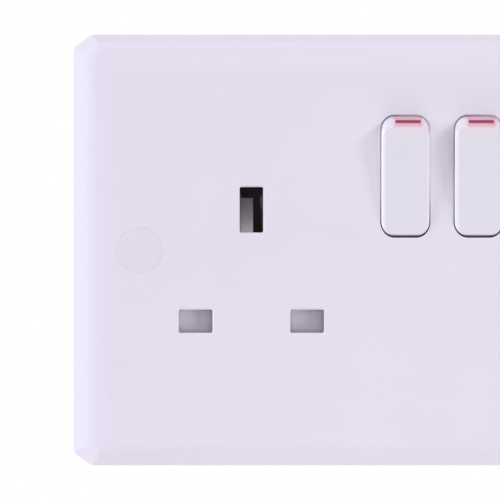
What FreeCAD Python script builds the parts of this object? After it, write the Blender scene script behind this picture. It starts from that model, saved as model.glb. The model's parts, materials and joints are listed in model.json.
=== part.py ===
import FreeCAD, Part
import math
import os

from FreeCAD import Vector

# UK twin switched socket outlet, front facing -Y, +Z up, millimetres.
# The origin is the middle of the plate, on the wall plane behind its rim.

# Plate
PLATE_WIDTH = 147.0
PLATE_HEIGHT = 86.0
PLATE_DEPTH = 9.5
CORNER_CLIP_WIDTH = 3.5
CORNER_CLIP_HEIGHT = 2.6
FACE_CLIP_SHARE = 0.6
CORNER_SOFTENING = 1.6
SIDE_BEVEL = 3.4
END_BEVEL = 2.4
BEVEL_DEPTH = 2.6
BEVEL_SOFTENING = 4.0
FACE_WALL = 3.0
RIM_WALL = 2.6
BACK_RIB_WALL = 1.4
BACK_RIB_PITCH = 14.0
BACK_RIB_SETBACK = 2.0
BOSS_SETBACK = 1.0

# Outlets
OUTLET_SPACING = 76.0
LINE_ROW_Z = -14.2
PIN_SPACING = 22.23
EARTH_PIN_RISE = 22.23
LINE_PIN_WIDTH = 6.35
LINE_PIN_HEIGHT = 3.95
LINE_PIN_LENGTH = 17.7
EARTH_PIN_WIDTH = 3.95
EARTH_PIN_HEIGHT = 7.92
EARTH_PIN_LENGTH = 22.73
LINE_SLOT_PLAY_X = 0.35
LINE_SLOT_PLAY_Z = 0.65
EARTH_SLOT_PLAY_X = 0.75
EARTH_SLOT_PLAY_Z = 1.18
SLOT_CORNER = 0.35
SLOT_LIP = 0.3
COLLAR_WALL = 1.4
COLLAR_DEPTH = 1.5

# Rockers
ROCKER_SPACING = 14.6
ROCKER_ROW_Z = 14.75
ROCKER_OPENING_HEIGHT = 24.6
ROCKER_WIDTH = 9.6
ROCKER_SIDE_GAP = 0.2
ROCKER_END_GAP = 0.55
ROCKER_CORNER = 2.3
ROCKER_EDGE = 0.5
ROCKER_WALL = 1.4
ROCKER_PROUD = 1.5
ROCKER_PIVOT_DEPTH = 6.0
ROCKER_TILT_DEG = 7.0
SKIRT_BELOW_PIVOT = -1.0
TRUNNION_RADIUS = 1.5
TRUNNION_GRIP = 1.6
PIVOT_CLEARANCE = 0.05
BEARING_WALL = 1.6
OUTER_BEARING_THICKNESS = 2.6
MARKER_WIDTH = 5.0
MARKER_LENGTH = 1.0
MARKER_DEPTH = 0.5
MARKER_FROM_EDGE = 0.45
MARKER_SHIFT = 0.5

# Switch works
PLUNGER_RADIUS = 1.6
PLUNGER_PLAY = 0.1
PLUNGER_TUBE_WALL = 0.9
PLUNGER_TUBE_DEPTH = 4.2
PLUNGER_HEAD_DEPTH = 0.6
PLUNGER_TIP_GAP = 0.12
SPRING_END_GAP = 0.05
PLUNGER_SPRING_WIRE = 0.4
PLUNGER_SPRING_TURNS = 4
SEESAW_LENGTH = 15.0
SEESAW_WIDTH = 5.0
SEESAW_TILT_DEG = 6.0
SEESAW_BEAD_RADIUS = 1.0
CRADLE_HEIGHT = 1.6
CRADLE_LIP = 0.3
CRADLE_LENGTH = 4.4
CONTACT_ARM = 6.0
TIP_RADIUS = 1.5
TIP_HEIGHT = 0.6
CONTACT_GAP = 0.2

# Shutters
SHUTTER_THICKNESS = 2.0
SHUTTER_PLAY = 0.2
SHUTTER_OVERLAP = 1.0
SHUTTER_CORNER = 1.0
SHUTTER_STEM_WIDTH = 11.0
SHUTTER_CLEAR_DROP = 0.1
RAMP_SHARE = 0.57
RAMP_ANGLE_DEG = 45.0
RAMP_RISE = 7.0
RAMP_SIDE_LAP = 0.5
SHUTTER_SPRING_RADIUS = 1.5
SHUTTER_SPRING_WIRE = 0.4
SHUTTER_SPRING_TURNS = 5
SPRING_PEG_RADIUS = 1.0
SPRING_PEG_LENGTH = 1.6

# Contact metal
STOCK = 0.8
PRESSED_CORNER = 1.0
STRIP_WIDTH = 4.0
TAIL_WIDTH = 7.0
EARTH_STRIP_WIDTH = 5.6
PIN_END_CLEARANCE = 0.4
INSULATION = 1.2
CLIP_GRIP = 0.5
CLIP_WIDTH = 6.4
CLIP_FRONT_GAP = 0.5
CLIP_FLARE = 0.9
CLIP_FLARE_LENGTH = 2.2
CLIP_ROOT = 0.5
EARTH_CLIP_REACH = 4.6
EARTH_CLIP_FLOOR_GAP = 1.2

# Terminals
TERMINAL_SPACING = 12.0
TERMINAL_WIDTH = 8.0
TERMINAL_DEPTH = 8.0
TERMINAL_HEIGHT = 9.0
WIRE_RADIUS = 2.2
WIRE_BACK_WALL = 3.0
WIRE_ENTRY_RADIUS = 3.6
TERMINAL_WALL_GAP = 0.3
TERMINAL_SCREW_RADIUS = 2.0
TERMINAL_HEAD_RADIUS = 2.7
TERMINAL_HEAD_HEIGHT = 2.2
TERMINAL_HEAD_LIFT = 0.3
SCREW_PLAY = 0.05
SCREW_ACCESS_RADIUS = 3.3
DRIVER_SLOT_WIDTH = 0.8
DRIVER_SLOT_DEPTH = 0.9
HEAD_CHAMFER = 0.35

# Rear housing
HOUSING_WALL = 2.0
HOUSING_FLOOR = 2.0
HOUSING_TOP_ROOM = 1.2
HOUSING_CORNER = 5.0
HOUSING_EDGE = 1.2
SCALLOP_EDGE_SHARE = 0.6
LAND_HEIGHT = 0.8
POCKET_DEPTH = 0.7
POCKET_CORNER = 1.2
POCKET_RIB = 1.4
POCKET_COUNT = 3
OUTLET_PANEL_WIDTH = 28.0
OUTLET_PANEL_HEIGHT = 36.0
SWITCH_PANEL_WIDTH = 36.0
SWITCH_PANEL_HEIGHT = 24.0
COLLAR_RING = 1.2
ACCESS_COLLAR_HEIGHT = 1.0
ENTRY_COLLAR_HEIGHT = 1.4
BARRIER_WALL = 1.2
BARRIER_HEIGHT = 2.6
BARRIER_OVER_ACCESS = 2.0
PEG_RADIUS = 1.9
PILLAR_RADIUS = 3.2
PILLAR_PLAY = 0.2
PILLAR_SEAT_DEPTH = 4.5
HOUSING_SCREW_RADIUS = 1.25
HOUSING_SCREW_BITE = 4.6
HOUSING_HEAD_RADIUS = 2.6
HOUSING_HEAD_HEIGHT = 2.0
HEAD_PLAY = 0.2

# Fixing screws and their caps
FIXING_CENTRES = 120.6
FIXING_SCREW_RADIUS = 1.75
FIXING_NECK_RADIUS = 1.4
FIXING_SCREW_PLAY = 0.4
FIXING_SCREW_LENGTH = 25.0
FIXING_HEAD_RADIUS = 3.3
FIXING_HEAD_HEIGHT = 2.0
FIXING_HEAD_DEPTH = 3.2
FIXING_BOSS_WALL = 1.4
CAP_RADIUS = 4.6
CAP_PLAY = 0.02
CAP_THICKNESS = 1.2
CAP_SPIGOT_LENGTH = 1.6
CAP_SPIGOT_WALL = 0.9
CAP_PROUD = 0.02
CAP_EDGE = 0.04

# Planes from front to back
FACE_Y = -PLATE_DEPTH
FACE_BACK_Y = FACE_Y + FACE_WALL
COLLAR_BACK_Y = FACE_BACK_Y + COLLAR_DEPTH
SHUTTER_FRONT_Y = COLLAR_BACK_Y + SHUTTER_PLAY
SHUTTER_BACK_Y = SHUTTER_FRONT_Y + SHUTTER_THICKNESS
SHUTTER_REST_Y = SHUTTER_BACK_Y + SHUTTER_PLAY
CLIP_FRONT_Y = SHUTTER_REST_Y + CLIP_FRONT_GAP
LIVE_Y = FACE_Y + LINE_PIN_LENGTH + PIN_END_CLEARANCE + STOCK
NEUTRAL_Y = LIVE_Y + STOCK + INSULATION
EARTH_Y = max(NEUTRAL_Y + STOCK + INSULATION, FACE_Y + EARTH_PIN_LENGTH + PIN_END_CLEARANCE - STOCK)
FLOOR_Y = EARTH_Y + STOCK + LAND_HEIGHT
BACK_Y = FLOOR_Y + HOUSING_FLOOR

# Places seen from the front
OUTLET_X = OUTLET_SPACING / 2
EARTH_ROW_Z = LINE_ROW_Z + EARTH_PIN_RISE
LINE_SLOT_WIDTH = LINE_PIN_WIDTH + LINE_SLOT_PLAY_X
LINE_SLOT_HEIGHT = LINE_PIN_HEIGHT + LINE_SLOT_PLAY_Z
EARTH_SLOT_WIDTH = EARTH_PIN_WIDTH + EARTH_SLOT_PLAY_X
EARTH_SLOT_HEIGHT = EARTH_PIN_HEIGHT + EARTH_SLOT_PLAY_Z
LANE_X = OUTLET_X - PIN_SPACING / 2
FAR_LINE_X = OUTLET_X + PIN_SPACING / 2
FIXING_X = FIXING_CENTRES / 2

# Rocker geometry: its ends are arcs about the pivot, so the gap to the plate stays even as it tilts
PIVOT_Y = FACE_Y + ROCKER_PIVOT_DEPTH
OPENING_RADIUS = math.hypot(ROCKER_OPENING_HEIGHT / 2, ROCKER_PIVOT_DEPTH)
ROCKER_RADIUS = OPENING_RADIUS - ROCKER_END_GAP
ROCKER_FRONT_Y = FACE_Y - ROCKER_PROUD
ROCKER_X = ROCKER_SPACING / 2
BEARING_REACH = TRUNNION_RADIUS + PIVOT_CLEARANCE + BEARING_WALL
BEARING_END_X = ROCKER_X + ROCKER_WIDTH / 2 + ROCKER_SIDE_GAP + OUTER_BEARING_THICKNESS
SEESAW_AXIS_Y = LIVE_Y - CRADLE_HEIGHT - CRADLE_LIP
CONTACT_Z = ROCKER_ROW_Z + CONTACT_ARM

# Shutter geometry: the drop clears the slot, and the ramp is the part seen in the earth slot
SHUTTER_HALF_HEIGHT = LINE_SLOT_HEIGHT / 2 + SHUTTER_OVERLAP
SHUTTER_HALF_WIDTH = PIN_SPACING / 2 + LINE_SLOT_WIDTH / 2 + SHUTTER_OVERLAP
SHUTTER_DROP = LINE_SLOT_HEIGHT + SHUTTER_OVERLAP + SHUTTER_CLEAR_DROP
SHUTTER_BOTTOM_Z = LINE_ROW_Z - SHUTTER_HALF_HEIGHT
RAMP_FOOT_Z = EARTH_ROW_Z - EARTH_SLOT_HEIGHT / 2

# Housing outline
HOUSING_TOP_Z = ROCKER_ROW_Z + OPENING_RADIUS + HOUSING_TOP_ROOM + HOUSING_WALL
PILLAR_INSET = HOUSING_WALL + PILLAR_PLAY + PILLAR_RADIUS
HOUSING_BOTTOM_Z = SHUTTER_BOTTOM_Z - SHUTTER_DROP - SHUTTER_PLAY - PILLAR_RADIUS - PILLAR_INSET
COLLAR_HALF_WIDTH = PIN_SPACING / 2 + LINE_SLOT_WIDTH / 2 + COLLAR_WALL
HOUSING_HALF_WIDTH = OUTLET_X + max(SHUTTER_HALF_WIDTH, COLLAR_HALF_WIDTH) + SHUTTER_PLAY + HOUSING_WALL
BOSS_RADIUS = CAP_RADIUS + CAP_PLAY + FIXING_BOSS_WALL
PILLAR_X = HOUSING_HALF_WIDTH - PILLAR_INSET
PILLAR_TOP_Z = HOUSING_TOP_Z - PILLAR_INSET
PILLAR_BOTTOM_Z = HOUSING_BOTTOM_Z + PILLAR_INSET
PILLAR_SEAT_Y = FACE_BACK_Y + PILLAR_SEAT_DEPTH
HOUSING_SEAT_Y = BACK_Y - HOUSING_HEAD_HEIGHT - HEAD_PLAY

# Terminal places
TERMINAL_LOW_Z = HOUSING_BOTTOM_Z + HOUSING_WALL + TERMINAL_WALL_GAP
TERMINAL_Z = TERMINAL_LOW_Z + TERMINAL_HEIGHT / 2
CROSS_RUN_Z = EARTH_ROW_Z - EARTH_SLOT_HEIGHT / 2 - EARTH_STRIP_WIDTH - INSULATION - STRIP_WIDTH / 2
EARTH_CLIP_BASE_Z = EARTH_ROW_Z - EARTH_PIN_HEIGHT / 2 - EARTH_CLIP_FLOOR_GAP - STOCK / 2
EARTH_STRIP_Z = EARTH_CLIP_BASE_Z + STOCK / 2 - EARTH_STRIP_WIDTH / 2

X_AXIS = Vector(1, 0, 0)
Y_AXIS = Vector(0, 1, 0)
Z_AXIS = Vector(0, 0, 1)
SIDES = {"left": -1, "right": 1}
SAME = 1e-6
parts = {}


def block(x0, x1, y0, y1, z0, z1):
    return Part.makeBox(x1 - x0, y1 - y0, z1 - z0, Vector(x0, y0, z0))


def rod_x(radius, x0, x1, y, z):
    return Part.makeCylinder(radius, x1 - x0, Vector(x0, y, z), X_AXIS)


def rod_y(radius, y0, y1, x, z):
    return Part.makeCylinder(radius, y1 - y0, Vector(x, y0, z), Y_AXIS)


def rod_z(radius, z0, z1, x, y):
    return Part.makeCylinder(radius, z1 - z0, Vector(x, y, z0), Z_AXIS)


def fuse(shapes):
    return shapes[0].multiFuse(shapes[1:]).removeSplitter()


def loop(points):
    return Part.makePolygon(points + points[:1])


def face_on(points, y0, y1):
    """A closed outline seen from the front, as a solid between two planes."""
    outline = loop([Vector(x, y0, z) for x, z in points])
    return Part.Face(outline).extrude(Vector(0, y1 - y0, 0))


def side_on(points, x0, x1):
    """A closed outline seen from the side, as a solid between two planes."""
    outline = loop([Vector(x0, y, z) for y, z in points])
    return Part.Face(outline).extrude(Vector(x1 - x0, 0, 0))


def edges_along(shape, axis):
    """The straight edges of a solid that run along an axis."""
    found = []
    for edge in shape.Edges:
        if isinstance(edge.Curve, Part.Line):
            along = edge.tangentAt(edge.FirstParameter).dot(axis)
            if abs(abs(along) - 1) < SAME:
                found.append(edge)
    return found


def rounded(x, z, width, height, corner, y0, y1):
    """A rectangle with round corners seen from the front, as a solid between two planes."""
    solid = block(x - width / 2, x + width / 2, y0, y1, z - height / 2, z + height / 2)
    return solid.makeFillet(corner, edges_along(solid, Y_AXIS))


def ribbon(path, width):
    """The outline of a strip of even width along a bent line, with mitred corners."""
    lines = []
    for (a, b), (c, d) in zip(path, path[1:]):
        length = math.hypot(c - a, d - b)
        lines.append(((c - a) / length, (d - b) / length))
    left, right = [], []
    for index, (u, v) in enumerate(path):
        before = lines[max(index - 1, 0)]
        after = lines[min(index, len(lines) - 1)]
        across = (-(before[1] + after[1]), before[0] + after[0])
        scale = width / (across[0] * -before[1] + across[1] * before[0]) / 2
        left.append((u + across[0] * scale, v + across[1] * scale))
        right.append((u - across[0] * scale, v - across[1] * scale))
    return left + right[::-1]


def coil(radius, wire, turns, length):
    """A coil spring of square wire standing on the origin along +Z."""
    rise = (length - wire) / turns
    helix = Part.makeHelix(rise, rise * turns, radius)
    half = wire / 2
    start = Vector(radius, 0, 0)
    corners = [Vector(-half, 0, -half), Vector(half, 0, -half), Vector(half, 0, half), Vector(-half, 0, half)]
    section = loop([start + corner for corner in corners])
    spring = Part.Wire(helix).makePipeShell([section], True, True)
    spring.translate(Vector(0, 0, half))
    return spring


def octagon(width, height, clip_width, clip_height, y):
    """A rectangle with clipped corners, seen from the front."""
    x, z = width / 2, height / 2
    near_x, near_z = x - clip_width, z - clip_height
    corners = [(near_x, z), (x, near_z), (x, -near_z), (near_x, -z)]
    corners += [(-near_x, -z), (-x, -near_z), (-x, near_z), (-near_x, z)]
    return loop([Vector(u, y, v) for u, v in corners])


def slot_places():
    """Centre, width and height of each pin slot: two line slots and an earth slot for each outlet."""
    places = []
    for side in SIDES.values():
        for pin in (-1, 1):
            x = side * OUTLET_X + pin * PIN_SPACING / 2
            places.append((x, LINE_ROW_Z, LINE_SLOT_WIDTH, LINE_SLOT_HEIGHT))
        places.append((side * OUTLET_X, EARTH_ROW_Z, EARTH_SLOT_WIDTH, EARTH_SLOT_HEIGHT))
    return places


def plate_skin():
    """The bevelled outside of the plate with softened edges, still solid."""
    shoulder_y = FACE_Y + BEVEL_DEPTH
    clip = (CORNER_CLIP_WIDTH, CORNER_CLIP_HEIGHT)
    back = octagon(PLATE_WIDTH, PLATE_HEIGHT, *clip, 0)
    wall = Part.Face(back).extrude(Vector(0, shoulder_y, 0))
    shoulder = octagon(PLATE_WIDTH, PLATE_HEIGHT, *clip, shoulder_y)
    face_size = (PLATE_WIDTH - 2 * SIDE_BEVEL, PLATE_HEIGHT - 2 * END_BEVEL)
    front = octagon(*face_size, *(FACE_CLIP_SHARE * size for size in clip), FACE_Y)
    skin = wall.fuse(Part.makeLoft([shoulder, front], True, True)).removeSplitter()
    skin = skin.makeFillet(CORNER_SOFTENING, edges_along(skin, Y_AXIS))
    ridge = [e for e in skin.Edges if abs(e.BoundBox.YMax - FACE_Y) < SAME]
    return skin.makeFillet(BEVEL_SOFTENING, ridge)


def front_plate():
    plate = plate_skin()
    room = (PLATE_WIDTH - 2 * RIM_WALL, PLATE_HEIGHT - 2 * RIM_WALL)
    inside = octagon(*room, CORNER_CLIP_WIDTH, CORNER_CLIP_HEIGHT, FACE_BACK_Y)
    hollow = Part.Face(inside).extrude(Vector(0, -FACE_BACK_Y, 0))
    plate = plate.cut(hollow)
    adds = []
    for x, z, width, height in slot_places():
        collar = (width + 2 * COLLAR_WALL, height + 2 * COLLAR_WALL)
        adds.append(rounded(x, z, *collar, COLLAR_WALL, FACE_BACK_Y, COLLAR_BACK_Y))
    for side in SIDES.values():
        adds.append(rod_y(BOSS_RADIUS, FACE_BACK_Y, -BOSS_SETBACK, side * FIXING_X, 0))
        for z in (PILLAR_TOP_Z, PILLAR_BOTTOM_Z):
            adds.append(rod_y(PILLAR_RADIUS, FACE_BACK_Y, PILLAR_SEAT_Y, side * PILLAR_X, z))
    adds += back_ribs()
    plate = fuse([plate] + adds)
    cuts = []
    for x, z, width, height in slot_places():
        cuts.append(rounded(x, z, width, height, SLOT_CORNER, FACE_Y, COLLAR_BACK_Y))
        cuts.append(slot_lip(x, z, width, height))
    for side in SIDES.values():
        cuts.append(rocker_disc(side * ROCKER_X, ROCKER_SIDE_GAP, ROCKER_END_GAP))
        cuts += fixing_cuts(side * FIXING_X)
        for z in (PILLAR_TOP_Z, PILLAR_BOTTOM_Z):
            pilot_y = PILLAR_SEAT_Y - HOUSING_SCREW_BITE
            cuts.append(rod_y(HOUSING_SCREW_RADIUS + SCREW_PLAY, pilot_y, PILLAR_SEAT_Y, side * PILLAR_X, z))
    plate = plate.cut(cuts)
    plate = fuse([plate] + bearings())
    bore = rod_x(TRUNNION_RADIUS + PIVOT_CLEARANCE, -BEARING_END_X, BEARING_END_X, PIVOT_Y, ROCKER_ROW_Z)
    return plate.cut(bore)


def slot_lip(x, z, width, height):
    """The small chamfer round a pin slot."""
    wide, tall = width + 2 * SLOT_LIP, height + 2 * SLOT_LIP
    mouth = rounded(x, z, wide, tall, SLOT_CORNER + SLOT_LIP, FACE_Y, FACE_BACK_Y)
    throat = rounded(x, z, width, height, SLOT_CORNER, FACE_Y + SLOT_LIP, FACE_BACK_Y)
    outer = [f for f in mouth.Faces if abs(f.CenterOfMass.y - FACE_Y) < SAME][0].OuterWire
    inner = [f for f in throat.Faces if abs(f.CenterOfMass.y - FACE_Y - SLOT_LIP) < SAME][0].OuterWire
    return Part.makeLoft([outer, inner], True, True)


def back_ribs():
    """Stiffening ribs behind the plate, between its rim and the rear housing."""
    ribs = []
    half = BACK_RIB_WALL / 2
    top = PLATE_HEIGHT / 2 - RIM_WALL
    count = int((HOUSING_HALF_WIDTH - HOUSING_CORNER) / BACK_RIB_PITCH)
    for index in range(-count, count + 1):
        x = index * BACK_RIB_PITCH
        for low, high in ((HOUSING_TOP_Z + SHUTTER_PLAY, top), (-top, HOUSING_BOTTOM_Z - SHUTTER_PLAY)):
            ribs.append(block(x - half, x + half, FACE_BACK_Y, -BACK_RIB_SETBACK, low, high))
    end = PLATE_WIDTH / 2 - RIM_WALL
    for side in SIDES.values():
        near, far = sorted((side * (FIXING_X + CAP_RADIUS), side * end))
        ribs.append(block(near, far, FACE_BACK_Y, -BACK_RIB_SETBACK, -half, half))
        for z in (-BACK_RIB_PITCH, BACK_RIB_PITCH):
            near, far = sorted((side * (HOUSING_HALF_WIDTH + SHUTTER_PLAY), side * end))
            ribs.append(block(near, far, FACE_BACK_Y, -BACK_RIB_SETBACK, z - half, z + half))
    return ribs


def fixing_cuts(x):
    """Cap recess, screw-head well and screw hole of one fixing point."""
    seat_y = FACE_Y + FIXING_HEAD_DEPTH + FIXING_HEAD_HEIGHT
    well = FIXING_HEAD_RADIUS + HEAD_PLAY
    return [
        rod_y(CAP_RADIUS + CAP_PLAY, FACE_Y, FACE_Y + CAP_THICKNESS, x, 0),
        rod_y(well, FACE_Y, seat_y, x, 0),
        rod_y(FIXING_SCREW_RADIUS + FIXING_SCREW_PLAY, FACE_Y, 0, x, 0),
    ]


def bearings():
    """The lugs behind the plate that carry the rocker trunnions."""
    opening = ROCKER_WIDTH / 2 + ROCKER_SIDE_GAP
    inner = ROCKER_X - opening
    outer = ROCKER_X + opening
    spans = [(-inner, inner), (outer, BEARING_END_X), (-BEARING_END_X, -outer)]
    lugs = []
    for x0, x1 in spans:
        web = block(x0, x1, FACE_BACK_Y, PIVOT_Y, ROCKER_ROW_Z - BEARING_REACH, ROCKER_ROW_Z + BEARING_REACH)
        lugs.append(web.fuse(rod_x(BEARING_REACH, x0, x1, PIVOT_Y, ROCKER_ROW_Z)))
    return lugs


def rocker_disc(x, side_gap, end_gap):
    """The disc about the pivot that both the rocker and its opening are cut from."""
    half = ROCKER_WIDTH / 2 + side_gap
    disc = rod_x(ROCKER_RADIUS + end_gap, x - half, x + half, PIVOT_Y, ROCKER_ROW_Z)
    rims = [e for e in disc.Edges if isinstance(e.Curve, Part.Circle)]
    return disc.makeFillet(ROCKER_CORNER + end_gap, rims)


def tilted(shape, degrees, y):
    """A copy turned about the X axis through the rocker row at the given depth."""
    turned = shape.copy()
    turned.rotate(Vector(0, y, ROCKER_ROW_Z), X_AXIS, degrees)
    return turned


def marker_block(x, inset):
    """The curved bar of the red marker on the upper end of a rocker, before the rocker is tilted."""
    low, high = x + MARKER_SHIFT - MARKER_WIDTH / 2, x + MARKER_SHIFT + MARKER_WIDTH / 2
    ring = rod_x(ROCKER_RADIUS, low, high, PIVOT_Y, ROCKER_ROW_Z)
    ring = ring.cut(rod_x(ROCKER_RADIUS - inset, low, high, PIVOT_Y, ROCKER_ROW_Z))
    near = ROCKER_FRONT_Y + ROCKER_EDGE + MARKER_FROM_EDGE
    top = ROCKER_ROW_Z + OPENING_RADIUS
    return ring.common(block(low, high, near, near + MARKER_LENGTH, ROCKER_ROW_Z, top))


def rocker(side):
    x = side * ROCKER_X
    half = ROCKER_WIDTH / 2
    reach = ROCKER_RADIUS
    skirt_y = PIVOT_Y + SKIRT_BELOW_PIVOT
    cap = block(x - half, x + half, ROCKER_FRONT_Y, skirt_y, ROCKER_ROW_Z - reach, ROCKER_ROW_Z + reach)
    shell = rocker_disc(x, 0, 0).common(cap)
    front = [e for e in shell.Edges if abs(e.BoundBox.YMax - ROCKER_FRONT_Y) < SAME]
    shell = shell.makeFillet(ROCKER_EDGE, front)
    room = rod_x(reach - ROCKER_WALL, x - half + ROCKER_WALL, x + half - ROCKER_WALL, PIVOT_Y, ROCKER_ROW_Z)
    room = room.common(block(x - half, x + half, ROCKER_FRONT_Y + ROCKER_WALL, PIVOT_Y + reach,
                             ROCKER_ROW_Z - reach, ROCKER_ROW_Z + reach))
    shell = shell.cut(room)
    tube = PLUNGER_RADIUS + PLUNGER_PLAY + PLUNGER_TUBE_WALL
    adds = [rod_y(tube, ROCKER_FRONT_Y + ROCKER_WALL, PIVOT_Y + PLUNGER_TUBE_DEPTH, x, ROCKER_ROW_Z)]
    for hand in (-1, 1):
        cheek = sorted((x + hand * half, x + hand * (half - ROCKER_WALL)))
        adds.append(rod_x(BEARING_REACH, *cheek, PIVOT_Y, ROCKER_ROW_Z))
        pin = sorted((x + hand * (half - ROCKER_WALL), x + hand * (half + ROCKER_SIDE_GAP + TRUNNION_GRIP)))
        adds.append(rod_x(TRUNNION_RADIUS, *pin, PIVOT_Y, ROCKER_ROW_Z))
    shell = fuse([shell] + adds)
    shell = shell.cut([plunger_bore(x), marker_block(x, MARKER_DEPTH)])
    return tilted(shell, ROCKER_TILT_DEG, PIVOT_Y)


def plunger_bore(x):
    bore_y = ROCKER_FRONT_Y + ROCKER_WALL
    return rod_y(PLUNGER_RADIUS + PLUNGER_PLAY, bore_y, PIVOT_Y + PLUNGER_TUBE_DEPTH, x, ROCKER_ROW_Z)


def plunger(side):
    """The nylon plunger whose round tip bears on the see-saw contact."""
    x = side * ROCKER_X
    tip_y = SEESAW_AXIS_Y - STOCK - PLUNGER_TIP_GAP
    ball_y = tip_y - PLUNGER_RADIUS
    stem = rod_y(PLUNGER_RADIUS, PIVOT_Y + PLUNGER_HEAD_DEPTH, ball_y, x, ROCKER_ROW_Z)
    ball = Part.makeSphere(PLUNGER_RADIUS, Vector(x, ball_y, ROCKER_ROW_Z))
    return tilted(fuse([stem, ball]), ROCKER_TILT_DEG, PIVOT_Y)


def plunger_spring(side):
    x = side * ROCKER_X
    start_y = ROCKER_FRONT_Y + ROCKER_WALL + SPRING_END_GAP
    length = PIVOT_Y + PLUNGER_HEAD_DEPTH - SPRING_END_GAP - start_y
    radius = PLUNGER_RADIUS - PLUNGER_SPRING_WIRE / 2
    spring = coil(radius, PLUNGER_SPRING_WIRE, PLUNGER_SPRING_TURNS, length)
    spring.rotate(Vector(0, 0, 0), X_AXIS, -90)
    spring.translate(Vector(x, start_y, ROCKER_ROW_Z))
    return tilted(spring, ROCKER_TILT_DEG, PIVOT_Y)


def moving_contact(side):
    """The see-saw blade with the half-round bead that it rocks on."""
    x = side * ROCKER_X
    half = SEESAW_WIDTH / 2
    front_y = SEESAW_AXIS_Y - STOCK
    blade = rounded(x, ROCKER_ROW_Z, SEESAW_WIDTH, SEESAW_LENGTH, PRESSED_CORNER, front_y, SEESAW_AXIS_Y)
    bead = rod_x(SEESAW_BEAD_RADIUS, x - half, x + half, SEESAW_AXIS_Y, ROCKER_ROW_Z)
    bead = bead.common(block(x - half, x + half, SEESAW_AXIS_Y - STOCK / 2, SEESAW_AXIS_Y + CRADLE_HEIGHT,
                             ROCKER_ROW_Z - CRADLE_LENGTH, ROCKER_ROW_Z + CRADLE_LENGTH))
    return tilted(fuse([blade, bead]), -SEESAW_TILT_DEG, SEESAW_AXIS_Y)


def moving_tip(side):
    tip = rod_y(TIP_RADIUS, SEESAW_AXIS_Y, SEESAW_AXIS_Y + TIP_HEIGHT, side * ROCKER_X, CONTACT_Z)
    return tilted(tip, -SEESAW_TILT_DEG, SEESAW_AXIS_Y)


def fixed_tips():
    """The tips on the live strips, each short of its moving tip by the contact gap."""
    swing = CONTACT_ARM * math.sin(math.radians(SEESAW_TILT_DEG))
    front_y = SEESAW_AXIS_Y + swing + TIP_HEIGHT * math.cos(math.radians(SEESAW_TILT_DEG)) + CONTACT_GAP
    tips = [rod_y(TIP_RADIUS, front_y, LIVE_Y, side * ROCKER_X, CONTACT_Z) for side in SIDES.values()]
    return Part.makeCompound(tips)


def shutter(side):
    """Blades over both line slots on one stem, with the ramp that the earth pin pushes down."""
    x = side * OUTLET_X
    depth = (SHUTTER_FRONT_Y, SHUTTER_BACK_Y)
    blades = rounded(x, LINE_ROW_Z, 2 * SHUTTER_HALF_WIDTH, 2 * SHUTTER_HALF_HEIGHT, SHUTTER_CORNER, *depth)
    half = SHUTTER_STEM_WIDTH / 2
    stem = block(x - half, x + half, *depth, LINE_ROW_Z, RAMP_FOOT_Z)
    slope = math.tan(math.radians(RAMP_ANGLE_DEG))
    back = RAMP_RISE / slope
    lead = SHUTTER_THICKNESS / math.sin(math.radians(RAMP_ANGLE_DEG))
    outline = [
        (SHUTTER_FRONT_Y, RAMP_FOOT_Z),
        (SHUTTER_FRONT_Y + back, RAMP_FOOT_Z + RAMP_RISE),
        (SHUTTER_FRONT_Y + back, RAMP_FOOT_Z + RAMP_RISE - lead),
        (SHUTTER_BACK_Y, RAMP_FOOT_Z + (SHUTTER_THICKNESS * slope) - lead),
        (SHUTTER_BACK_Y, RAMP_FOOT_Z - lead),
        (SHUTTER_FRONT_Y, RAMP_FOOT_Z - lead),
    ]
    ramp_x = x - EARTH_SLOT_WIDTH / 2
    ramp = side_on(outline, ramp_x - RAMP_SIDE_LAP, ramp_x + RAMP_SHARE * EARTH_SLOT_WIDTH)
    middle_y = (SHUTTER_FRONT_Y + SHUTTER_BACK_Y) / 2
    peg = rod_z(SPRING_PEG_RADIUS, SHUTTER_BOTTOM_Z - SPRING_PEG_LENGTH, SHUTTER_BOTTOM_Z, x, middle_y)
    return fuse([blades, stem, ramp, peg])


def shutter_spring(side):
    floor_z = HOUSING_BOTTOM_Z + HOUSING_WALL + SPRING_END_GAP
    length = SHUTTER_BOTTOM_Z - SPRING_END_GAP - floor_z
    spring = coil(SHUTTER_SPRING_RADIUS, SHUTTER_SPRING_WIRE, SHUTTER_SPRING_TURNS, length)
    spring.translate(Vector(side * OUTLET_X, (SHUTTER_FRONT_Y + SHUTTER_BACK_Y) / 2, floor_z))
    return spring


def line_clip(x, base_y):
    """A folded spring clip that grips a line pin above and below, with a flared mouth."""
    grip = (LINE_PIN_HEIGHT - CLIP_GRIP + STOCK) / 2
    base = base_y - STOCK / 2
    upper = [
        (CLIP_FRONT_Y, grip + CLIP_FLARE),
        (CLIP_FRONT_Y + CLIP_FLARE_LENGTH, grip),
        (base - CLIP_FLARE_LENGTH, grip + CLIP_ROOT),
        (base, grip + CLIP_ROOT),
    ]
    path = [(y, LINE_ROW_Z + z) for y, z in upper] + [(y, LINE_ROW_Z - z) for y, z in upper[::-1]]
    return side_on(ribbon(path, STOCK), x - CLIP_WIDTH / 2, x + CLIP_WIDTH / 2)


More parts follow.
